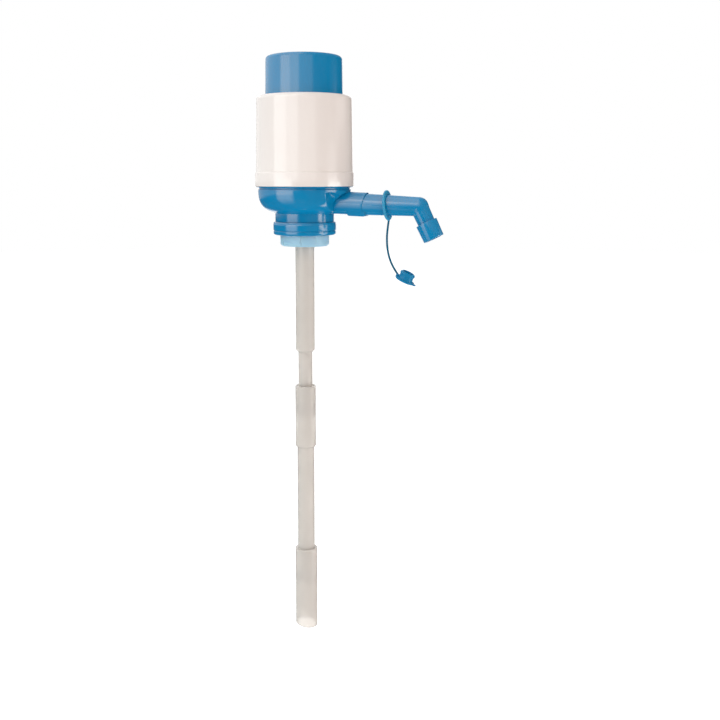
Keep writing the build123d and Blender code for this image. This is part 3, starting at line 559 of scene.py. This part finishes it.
boolean(base, "DIFFERENCE",
        rod("bore", 4.6, -14.0, 29.4, seg=72),
        rod("channel_bore", 5.4, -2.0, 39.5, M_OUT, 72),
        lathe("socket_bore", [(0, 38.5), (8.05, 38.5), (8.05, 49.5), (8.65, 49.5), (8.65, 56.5), (0, 56.5)], 96, M_OUT),
        *[rod("hole", 1.3, 33.0, 42.6, at(x, y), 24) for w, x, y in polar(30.4, 4, 45)])
piece(base, "base", BLUE, "blue_plastic", "base_body")

# =====================================================================================
# spout: one swept skin, square rings on the straight runs and a fan of rings about the inner corner of the elbow
# =====================================================================================
FAN = 28
COUNT = 96


def rule_outer_a(s):
    return 8.45 + (7.45 - 8.45) * (s - 52.6) / (95.45 - 52.6)


def rule_outer_b(t):
    if t >= 13.6:
        return 6.8
    u = min(1.0, max(0.0, t / 5.0))
    return 7.45 - 0.42 * u * u * (3 - 2 * u) - 0.23 * max(0.0, t - 5.0) / 8.6


def elbow_rings(rule_a, rule_b, ball):
    """Rings about the bend of the union of the two runs and the ball, with where they start and end."""

    def in_a(p):
        s = (p - O).dot(OUT)
        return s <= ELBOW_L + 1e-9 and ((p - O) - OUT * s).length <= rule_a(s)

    def in_b(p):
        t = (p - V).dot(DOWN)
        return t >= -1e-9 and ((p - V) - DOWN * t).length <= rule_b(t)

    def inside(p):
        return (p - V).length <= ball or in_a(p) or in_b(p)

    lo, hi = 0.5, 15.0
    for _ in range(60):
        mid = (lo + hi) / 2
        if in_a(V + DOWN * mid - DOWN_OUT * rule_b(mid)):
            lo = mid
        else:
            hi = mid
    corner = V + DOWN * lo - DOWN_OUT * rule_b(lo)
    s_corner = (corner - O).dot(OUT)
    turn = beta - alpha
    rings = []
    for k in range(FAN + 1):
        w = turn * k / FAN
        e1 = OUT_UP * math.cos(w) + OUT * math.sin(w)
        reach = ball / math.cos(min(w, turn - w))
        c = corner + e1 * reach
        ring = []
        for j in range(COUNT):
            q = 2 * math.pi * j / COUNT
            if j * 2 == COUNT:
                ring.append(corner.copy())
                continue
            d = e1 * math.cos(q) + Y * math.sin(q)
            far = 0.0
            step = 0.25
            while inside(c + d * (far + step)) and far < 40:
                far += step
            a, b = far, far + step
            for _ in range(22):
                mid = (a + b) / 2
                if inside(c + d * mid):
                    a = mid
                else:
                    b = mid
            ring.append(c + d * a)
        rings.append(ring)
    return rings, s_corner, lo


def ring_a(s, r):
    return [O + OUT * s + OUT_UP * (r * math.cos(q)) + Y * (r * math.sin(q)) for q in (2 * math.pi * j / COUNT for j in range(COUNT))]


def ring_b(t, r):
    return [V + DOWN * t + DOWN_OUT * (r * math.cos(q)) + Y * (r * math.sin(q)) for q in (2 * math.pi * j / COUNT for j in range(COUNT))]


outer_fan, outer_s, outer_t = elbow_rings(rule_outer_a, rule_outer_b, 7.45)
inner_fan, inner_s, inner_t = elbow_rings(lambda s: 5.9, lambda t: 5.5 if t > 4 else 5.9 - 0.1 * t, 5.9)
spigot = rounded([(5.9, 39.0, 0.3), (8.0, 39.0, 0.5), (8.0, 41.9, 0.12), (7.0, 41.9, 0.2), (7.0, 43.9, 0.2), (8.0, 43.9, 0.12), (8.0, 46.9, 0.12),
                  (7.0, 46.9, 0.2), (7.0, 48.9, 0.2), (8.0, 48.9, 0.12), (8.0, 49.8, 0.15), (8.45, 49.8, 0.28), (8.45, 52.6), (8.4, 55.0)], 4)
skin = [ring_a(s, r) for r, s in spigot]
skin += [ring_a(s, rule_outer_a(s)) for s in [56.0 + (outer_s - 57.0) * k / 12 for k in range(13)]]
skin += outer_fan
skin += [ring_b(t, rule_outer_b(t)) for t in (outer_t + 0.8, outer_t + 2.0, outer_t + 4.0, 10.0, 13.6, 17.5)]
skin += [ring_b(t, r) for r, t in rounded([(6.8, 19.0), (6.8, 22.0, 0.4), (5.5, 22.0, 0.3), (5.5, 19.0)], 4)]
skin += [ring_b(t, 5.5) for t in (15.0, 11.0, inner_t + 3.0, inner_t + 1.0)]
skin += list(reversed(inner_fan))
skin += [ring_a(s, 5.9) for s in [inner_s - 1.0 - (inner_s - 42.0) * k / 10 for k in range(11)]]
spout = loft("spout_shell", skin, closed=True, merge=0.000002)
piece(spout, "spout", BLUE, "blue_plastic", "spout_tube")

sleeve = lathe("sleeve_shell", rounded([
    (6.85, 13.6, 0.25), (8.6, 13.6, 0.38), (8.2, 27.5, 0.55), (6.35, 27.5, 0.3), (6.35, 22.3, 0.1), (6.85, 22.3, 0.1)], 5), 96, M_DOWN)
piece(sleeve, "spout", BLUE, "blue_plastic", "nozzle_sleeve")

# =====================================================================================
# tether ring and dust cap
# =====================================================================================
M_RING = frame_matrix(ring_c, ring_n, (0, 1, 0))
ring = lathe("ring_shell", rounded([(8.4, -0.95, 0.4), (11.8, -0.95, 0.75), (11.8, 0.95, 0.75), (8.4, 0.95, 0.4)], 6), 128, M_RING)
lug_rings = []
for k in range(9):
    u = k / 8
    e = u * u * (3 - 2 * u)
    c = ring_c + ring_down * (9.9 + 2.2 * u)
    lug_rings.append(oval(c, Y, ring_n, 2.9 - 1.98 * e, 0.93 - 0.01 * e, 3.2 - 1.2 * e, 32))
boolean(ring, "UNION", loft("ring_lug", lug_rings))
piece(ring, "tether", BLUE_PALE, "blue_soft_plastic", "tether_ring")

tilt = math.radians(25.0)
cap_up = Vector((math.sin(tilt), 0, math.cos(tilt)))
cap_x = Vector((math.cos(tilt), 0, -math.sin(tilt)))
CAP_C = Vector((85.2, 0, -33.6))
M_CAP = frame_matrix(CAP_C, cap_up, cap_x)
cap = lathe("cap_shell", rounded([
    (0, -1.4), (7.85, -1.4, 0.5), (7.85, 0.0, 0.4), (5.95, 0.0, 0.3), (5.6, 2.4, 1.5), (5.7, 3.6, 1.0), (6.15, 4.5, 0.6), (5.95, 5.5, 0.6), (5.0, 6.2, 0.5),
    (4.3, 6.2, 0.3), (4.1, 1.0, 0.6), (0, 1.0)], 5), 96, M_CAP)
tab_rings = []
for k in range(7):
    u = k / 6
    tab_rings.append(oval(M_CAP @ Vector((6.6 + 2.65 * u, 0, -0.85)), Y, cap_up, 2.5 - 0.45 * u * u, 0.55 - 0.1 * u, 3.5, 32))
tab_rings.append(oval(M_CAP @ Vector((9.42, 0, -0.85)), Y, cap_up, 1.7, 0.28, 3.0, 32))
boolean(cap, "UNION", loft("tab", tab_rings), block("eye", (2.6, 3.0, 2.7), M_CAP @ Matrix.Translation((-6.8, 0, 0.05)), 0.45, 4))
# the cap's blue is set darker than the base blue: painted shade
piece(cap, "tether", BLUE_SOFT_PAINTED_SHADE, "blue_soft_plastic", "dust_cap")

# =====================================================================================
# neck: threaded collar, soft plug
# =====================================================================================
collar = lathe("collar_shell", rounded([
    (20.5, 0.0, 0.3), (25.45, 0.0, 1.7), (25.45, 3.0, 0.15), (25.05, 3.25, 0.15), (25.05, 3.65, 0.15), (25.6, 3.9, 0.2),
    (25.6, 8.15, 0.1), (25.75 - 0.15, 8.35, 0.1), (25.45, 8.65, 0.15), (25.4, 9.7, 0.3), (25.05, 10.35, 0.25), (22.9, 10.35, 0.25), (22.9, 2.0, 0.2), (20.5, 2.0, 0.3)], 5), 192)
piece(collar, "collar", BLUE, "blue_plastic", "neck_collar")

plug = lathe("plug_shell", rounded([
    (8.2, -9.0, 0.4), (18.5, -9.0, 0.8), (19.9, -7.6, 0.8), (19.9, 0.0, 0.1), (19.5, 0.2, 0.1), (19.5, 2.05, 0.2), (22.4, 2.05, 0.2), (22.4, 4.05, 0.3),
    (17.8, 4.05, 0.4), (17.8, -6.4, 0.8), (10.2, -6.4, 0.8), (10.2, 0.4, 0.4), (8.2, 0.4, 0.3)], 5), 160)
boolean(plug, "DIFFERENCE", *[rod("hole", 2.2, -9.6, -5.8, at(x, y), 32) for w, x, y in polar(14.0, 3, 30)])
piece(plug, "plug", PLUG, "plug_soft_plastic", "neck_plug")

# =====================================================================================
# dip tubes
# =====================================================================================
tube_a = lathe("tube_upper", rounded([
    (6.6, 1.4, 0.2), (7.85, 1.4, 0.35), (7.85, -95.4, 0.7), (7.2, -96.1, 0.7), (5.87, -97.3, 0.6), (5.87, -153.1, 0.15), (4.77, -153.1, 0.15),
    (4.77, -96.1, 1.5), (6.6, -93.5, 1.5)], 5), 96)
piece(tube_a, "base", TUBE, "tube_plastic", "dip_tube_upper")
tube_b = lathe("tube_middle", rounded([
    (7.3, -126.3, 0.2), (8.6, -126.3, 0.35), (8.6, -178.0, 0.7), (8.0, -178.9, 0.6), (7.15, -179.6, 0.5), (7.15, -297.0, 0.2), (5.95, -297.0, 0.2),
    (5.95, -172.7, 3.0), (4.87, -154.1, 0.5), (4.87, -153.1), (5.87, -153.1), (5.87, -140.1, 1.0), (7.3, -138.1, 1.0)], 5), 96)
piece(tube_b, "base", TUBE, "tube_plastic", "dip_tube_middle")
tube_c = lathe("tube_foot", rounded([
    (7.15, -270.5, 0.2), (9.35, -270.5, 0.45), (9.35, -350.0), (8.2, -350.0), (8.2, -299.0, 0.8), (6.15, -298.0, 0.3),
    (6.15, -297.0), (7.15, -297.0)], 5), 96)
slope = math.atan2(342.6 - 339.0, 24.0)
cut = block("cut", (60, 60, 30), Matrix.Translation((0, 0, -340.8)) @ Matrix.Rotation(slope, 4, "Y") @ Matrix.Translation((0, 0, -15.0)))
boolean(tube_c, "DIFFERENCE", cut)
piece(tube_c, "base", TUBE, "tube_plastic", "dip_tube_foot")

# =====================================================================================
# bellows: a folded skin with screw holes in its lower and upper flanges
# =====================================================================================
fold = (130.5 - 2.0 - 46.2) / 6
folds = []
for i in range(6):
    zb = 46.2 + i * fold
    folds += [(23.3, zb + 0.03 * fold, 0.9), (27.6, zb + 0.5 * fold, 1.6)]
folds.append((23.3, 46.2 + 6 * fold - 0.4, 0.9))
bellows = lathe("bellows_skin", rounded([
    (21.2, 44.2, 0.3), (33.2, 44.2, 0.3), (33.2, 46.2, 0.3), (23.3, 46.2), *folds[1:-1],
    (23.3, 128.1, 0.9), (23.3, 130.4, 0.5), (13.0, 130.4, 0.3), (13.0, 128.55, 0.3), (21.8, 128.55, 0.5),
    *[(r - 1.5, z, f) for r, z, f in reversed(folds[1:-1])], (21.2, 46.5, 0.6)], 4), 128)
boolean(bellows, "DIFFERENCE",
        *[rod("hole", 1.6, 43.0, 47.4, at(x, y), 24) for w, x, y in polar(30.4, 4, 45)],
        *[rod("hole", 1.1, 127.8, 131.5, at(x, y), 24) for w, x, y in polar(17.5, 3, 30)])
piece(bellows, "base", RUBBER, "bellows_rubber", "bellows")
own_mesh(bellows)

# =====================================================================================
# floor and light
# =====================================================================================
bm = bmesh.new()
bmesh.ops.create_circle(bm, cap_ends=True, radius=13.0, segments=96)
me = bpy.data.meshes.new("floor")
bm.to_mesh(me)
bm.free()
floor = link(bpy.data.objects.new("floor", me))
floor.location = (0, 0, -1.0)
floor.visible_glossy = False
floor.visible_diffuse = False
fm = Mat("floor_pale", Roughness=0.9, Specular_IOR_Level=0.0, Emission_Color=(1, 1, 1, 1), Emission_Strength=1.0)
fm.link(fm.ramp(fm.noise(3.0, 2.0), [(0.3, (0.30, 0.30, 0.30)), (0.7, (0.31, 0.31, 0.31))]), "Base Color")
fm.m.cycles.emission_sampling = "NONE"
floor.data.materials.append(fm.m)

# The room: a soft sky above the horizon, dark below it, upright panels at the left and a narrow one at the right.
world = bpy.data.worlds.new("studio")
bpy.context.scene.world = world
world.use_nodes = True
wt = world.node_tree
wt.nodes.clear()


def wn(kind, **props):
    n = wt.nodes.new(kind)
    for k, v in props.items():
        setattr(n, k, v)
    return n


def wmath(op, a, b=None, c=None):
    n = wn("ShaderNodeMath", operation=op)
    for i, v in enumerate((a, b, c)):
        if v is None:
            continue
        if isinstance(v, (int, float)):
            n.inputs[i].default_value = v
        else:
            wt.links.new(v, n.inputs[i])
    return n.outputs[0]


def wramp(value, stops):
    n = wn("ShaderNodeValToRGB")
    e = n.color_ramp.elements
    while len(e) < len(stops):
        e.new(0.5)
    for el, (pos, col) in zip(e, stops):
        el.position = pos
        el.color = (*col, 1.0)
    wt.links.new(value, n.inputs["Fac"])
    return n.outputs["Color"]


def wmix(kind, fac, a, b):
    n = wn("ShaderNodeMix", data_type="RGBA", blend_type=kind)
    if isinstance(fac, (int, float)):
        n.inputs["Factor"].default_value = fac
    else:
        wt.links.new(fac, n.inputs["Factor"])
    wt.links.new(a, n.inputs["A"])
    wt.links.new(b, n.inputs["B"])
    return n.outputs["Result"]


SCALE = 4.0
CAMERA_AZIMUTH = math.atan2(-0.923117, 0.341281)
sep = wn("ShaderNodeSeparateXYZ")
wt.links.new(wn("ShaderNodeTexCoord").outputs["Generated"], sep.inputs[0])
azimuth = wmath("ARCTAN2", sep.outputs["Y"], sep.outputs["X"])
turned = wmath("WRAP", wmath("SUBTRACT", azimuth, CAMERA_AZIMUTH), math.pi, -math.pi)
around = wmath("MULTIPLY_ADD", turned, 1 / (2 * math.pi), 0.5)
AROUND = [
    (-180, 0.15), (-150, 0.08), (-120, 0.03), (-88, 0.0), (88, 0.0), (130, 0.03), (155, 0.1), (180, 0.15)]
side = wramp(around, [((d + 180) / 360, tuple(v / SCALE * c for c in ((1, 1, 1) if d < 10 else (1, 0.95, 0.91)))) for d, v in AROUND])
height = wmath("MULTIPLY_ADD", sep.outputs["Z"], 0.5, 0.5)


def at_elevation(deg):
    return (math.sin(math.radians(deg)) + 1) / 2


low = wramp(height, [(at_elevation(e), (v, v, v)) for e, v in (
    (-90, 0.0), (-76, 0.2), (-60, 0.35), (-47, 0.4), (-34, 0.75), (-20, 1.0), (-2, 1.0), (9, 0.4), (20, 0.0))])
top = wramp(height, [(at_elevation(e), (v / SCALE, v / SCALE, v / SCALE)) for e, v in ((10, 0.0), (24, 0.9), (34, 1.3), (50, 1.35), (70, 1.3), (90, 1.4))])
OVERHEAD = [(-180, 0.5), (-150, 0.9), (-25, 1.0), (15, 0.3), (60, 0.15), (120, 0.15), (160, 0.4), (180, 0.5)]
overhead = wramp(around, [((d + 180) / 360, (v, v, v)) for d, v in OVERHEAD])
sky = wmix("ADD", 1.0, wmix("MULTIPLY", 1.0, side, low), wmix("MULTIPLY", 1.0, top, overhead))
bg = wn("ShaderNodeBackground")
bg.inputs["Strength"].default_value = SCALE
wt.links.new(sky, bg.inputs["Color"])
white = wn("ShaderNodeBackground")
white.inputs["Color"].default_value = (1, 1, 1, 1)
white.inputs["Strength"].default_value = 1.0
mix = wn("ShaderNodeMixShader")
wt.links.new(wn("ShaderNodeLightPath").outputs["Is Camera Ray"], mix.inputs[0])
wt.links.new(bg.outputs[0], mix.inputs[1])
wt.links.new(white.outputs[0], mix.inputs[2])
wt.links.new(mix.outputs[0], wn("ShaderNodeOutputWorld").inputs[0])


def area(name, location, target, size, radiance, colour=(1, 1, 1), glossy=True, diffuse=True):
    """Rectangular light of a given radiance, not seen by the camera itself."""
    ld = bpy.data.lights.new(name, "AREA")
    ld.shape = "RECTANGLE"
    ld.size, ld.size_y = size
    ld.energy = radiance * math.pi * size[0] * size[1]
    ld.color = colour
    lo = link(bpy.data.objects.new(name, ld))
    lo.location = location
    lo.rotation_euler = (Vector(target) - Vector(location)).to_track_quat("-Z", "Y").to_euler()
    lo.visible_glossy = glossy
    lo.visible_diffuse = diffuse
    lo.visible_camera = False
    return lo


def standing(name, turns, away, z0, z1, radiance, colour=(1, 1, 1)):
    """Upright reflector between two angles to the camera's right, facing the pump."""
    w = CAMERA_AZIMUTH + math.radians(sum(turns) / 2)
    width = 2 * away * math.tan(math.radians((turns[1] - turns[0]) / 2))
    z = (z0 + z1) / 2
    return area(name, (away * math.cos(w), away * math.sin(w), z), (0, 0, z), (width, z1 - z0), radiance, colour, True, False)


for name, z0, z1, radiance in (("key_foot", -0.36, -0.25, 0.35), ("key_low", -0.25, -0.17, 0.7), ("key_middle", -0.17, -0.095, 1.05),
                               ("key_high", -0.095, -0.02, 1.5), ("key", -0.02, 0.036, 2.5)):
    standing(name, (-68, -26), 0.35, z0, z1, radiance)
standing("glow_far", (-150, -66), 0.20, 0.002, 0.037, 0.55)
standing("glow_a", (-150, -66), 0.20, 0.037, 0.20, 0.9)
standing("glow_b", (-66, -38), 0.20, 0.037, 0.20, 2.2)
standing("glow_c", (-38, -12), 0.20, 0.037, 0.20, 1.4)
standing("glow_d", (-12, 26), 0.20, 0.037, 0.20, 0.5)
standing("strip_low", (66, 86), 0.27, -0.44, -0.03, 3.3, (1, 0.98, 0.95))
standing("strip_neck", (54, 86), 0.27, -0.03, 0.033, 3.5, (0.95, 1, 1))
standing("strip_mid", (55, 81), 0.80, 0.026, 0.062, 2.2)
standing("strip_up", (55, 81), 0.80, 0.062, 0.185, 0.8)
standing("strip_high", (80, 114), 0.80, 0.185, 0.27, 0.6)
standing("behind", (158, 202), 0.60, -0.35, 0.35, 1.2)
area("upper_left", (0.8 * math.cos(CAMERA_AZIMUTH - 0.82), 0.8 * math.sin(CAMERA_AZIMUTH - 0.82), 0.65), (0, 0, 0.02), (0.9, 0.36), 0.5, (1, 1, 1), True, False)
area("bounce", (0, 0, -0.455), (0, 0, 0), (2.4, 2.4), 1.25, (1, 1, 1), False)
area("ceiling", (0, 0, 1.2), (0, 0, 0), (2.4, 2.4), 0.6, (1, 1, 1), False)
for name, turned_by, radiance, colour in (("fill_left", -50, 0.85, (0.98, 1, 1)), ("fill_right", 40, 1.5, (1, 0.84, 0.77)),
                                          ("fill_back_right", 130, 1.2, (1, 0.97, 0.94)), ("fill_back_left", -140, 0.85, (1, 1, 1))):
    w = CAMERA_AZIMUTH + math.radians(turned_by)
    area(name, (1.6 * math.cos(w), 1.6 * math.sin(w), 0.12), (0, 0, 0.12), (2.6, 1.15), radiance, colour, False)
bpy.context.scene.view_settings.view_transform = "Standard"
